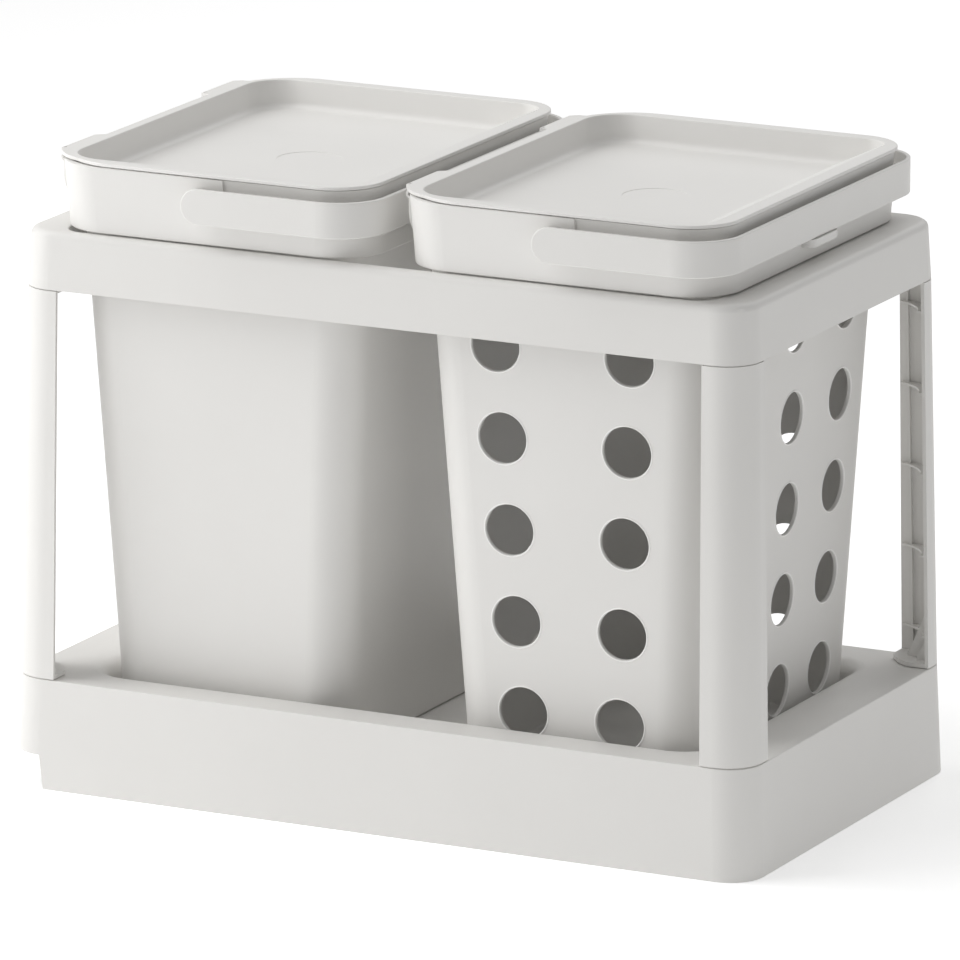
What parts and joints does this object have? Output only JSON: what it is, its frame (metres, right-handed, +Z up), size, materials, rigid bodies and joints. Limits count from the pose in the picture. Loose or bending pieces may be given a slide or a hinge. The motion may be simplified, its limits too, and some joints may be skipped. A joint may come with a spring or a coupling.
{
  "type": "built-in waste sorting bin",
  "caption": "Drop-in frame with lift-out lidded waste bins, one closed and one ventilated with round holes, each with a dished lid and a bail handle.",
  "frame": {"origin": "centre of the footprint, on the surface that the tray stands on", "axes": "+X along the length from the hinge side of the lids to their free side, +Y towards the far long side, +Z up"},
  "size_m": [0.5392, 0.3206, 0.4235],
  "materials": {
    "frame_plastic": "fine matte moulded plastic, warm light grey",
    "bin_plastic": "fine matte moulded plastic, warm light grey",
    "lid_plastic": "fine matte moulded plastic, warm light grey",
    "handle_plastic": "fine matte moulded plastic, warm light grey",
    "pin_steel": "plain drawn steel"
  },
  "bodies": {
    "frame": {"base_tray": "frame_plastic", "post_front_left": "frame_plastic", "post_front_right": "frame_plastic", "post_back_left": "frame_plastic", "post_back_right": "frame_plastic", "top_ring": "frame_plastic"},
    "bin_left": {"bin_solid": "bin_plastic", "hinge_pin_left_front": "pin_steel", "hinge_pin_left_back": "pin_steel"},
    "bin_right": {"bin_ventilated": "bin_plastic", "hinge_pin_right_front": "pin_steel", "hinge_pin_right_back": "pin_steel"},
    "lid_left": {"lid_left": "lid_plastic"},
    "lid_right": {"lid_right": "lid_plastic"},
    "handle_left": {"handle_left": "handle_plastic"},
    "handle_right": {"handle_right": "handle_plastic"}
  },
  "joints": [
    {"name": "bin_left_lift", "type": "slide", "parent": "frame", "child": "bin_left", "axis": [0, 0, 1], "range_m": [0, 0.36]},
    {"name": "lid_left_hinge", "type": "hinge", "parent": "bin_left", "child": "lid_left", "pos_m": [-0.24287, 0, 0.4174], "axis": [0, -1, 0], "range_deg": [0, 100]},
    {"name": "handle_left_swing", "type": "hinge", "parent": "bin_left", "child": "handle_left", "pos_m": [-0.12501, 0, 0.40315], "axis": [0, -1, 0], "range_deg": [0, 120]},
    {"name": "bin_right_lift", "type": "slide", "parent": "frame", "child": "bin_right", "axis": [0, 0, 1], "range_m": [0, 0.36]},
    {"name": "lid_right_hinge", "type": "hinge", "parent": "bin_right", "child": "lid_right", "pos_m": [0.00915, 0, 0.4174], "axis": [0, -1, 0], "range_deg": [0, 100]},
    {"name": "handle_right_swing", "type": "hinge", "parent": "bin_right", "child": "handle_right", "pos_m": [0.12701, 0, 0.40315], "axis": [0, -1, 0], "range_deg": [0, 120]}
  ]
}
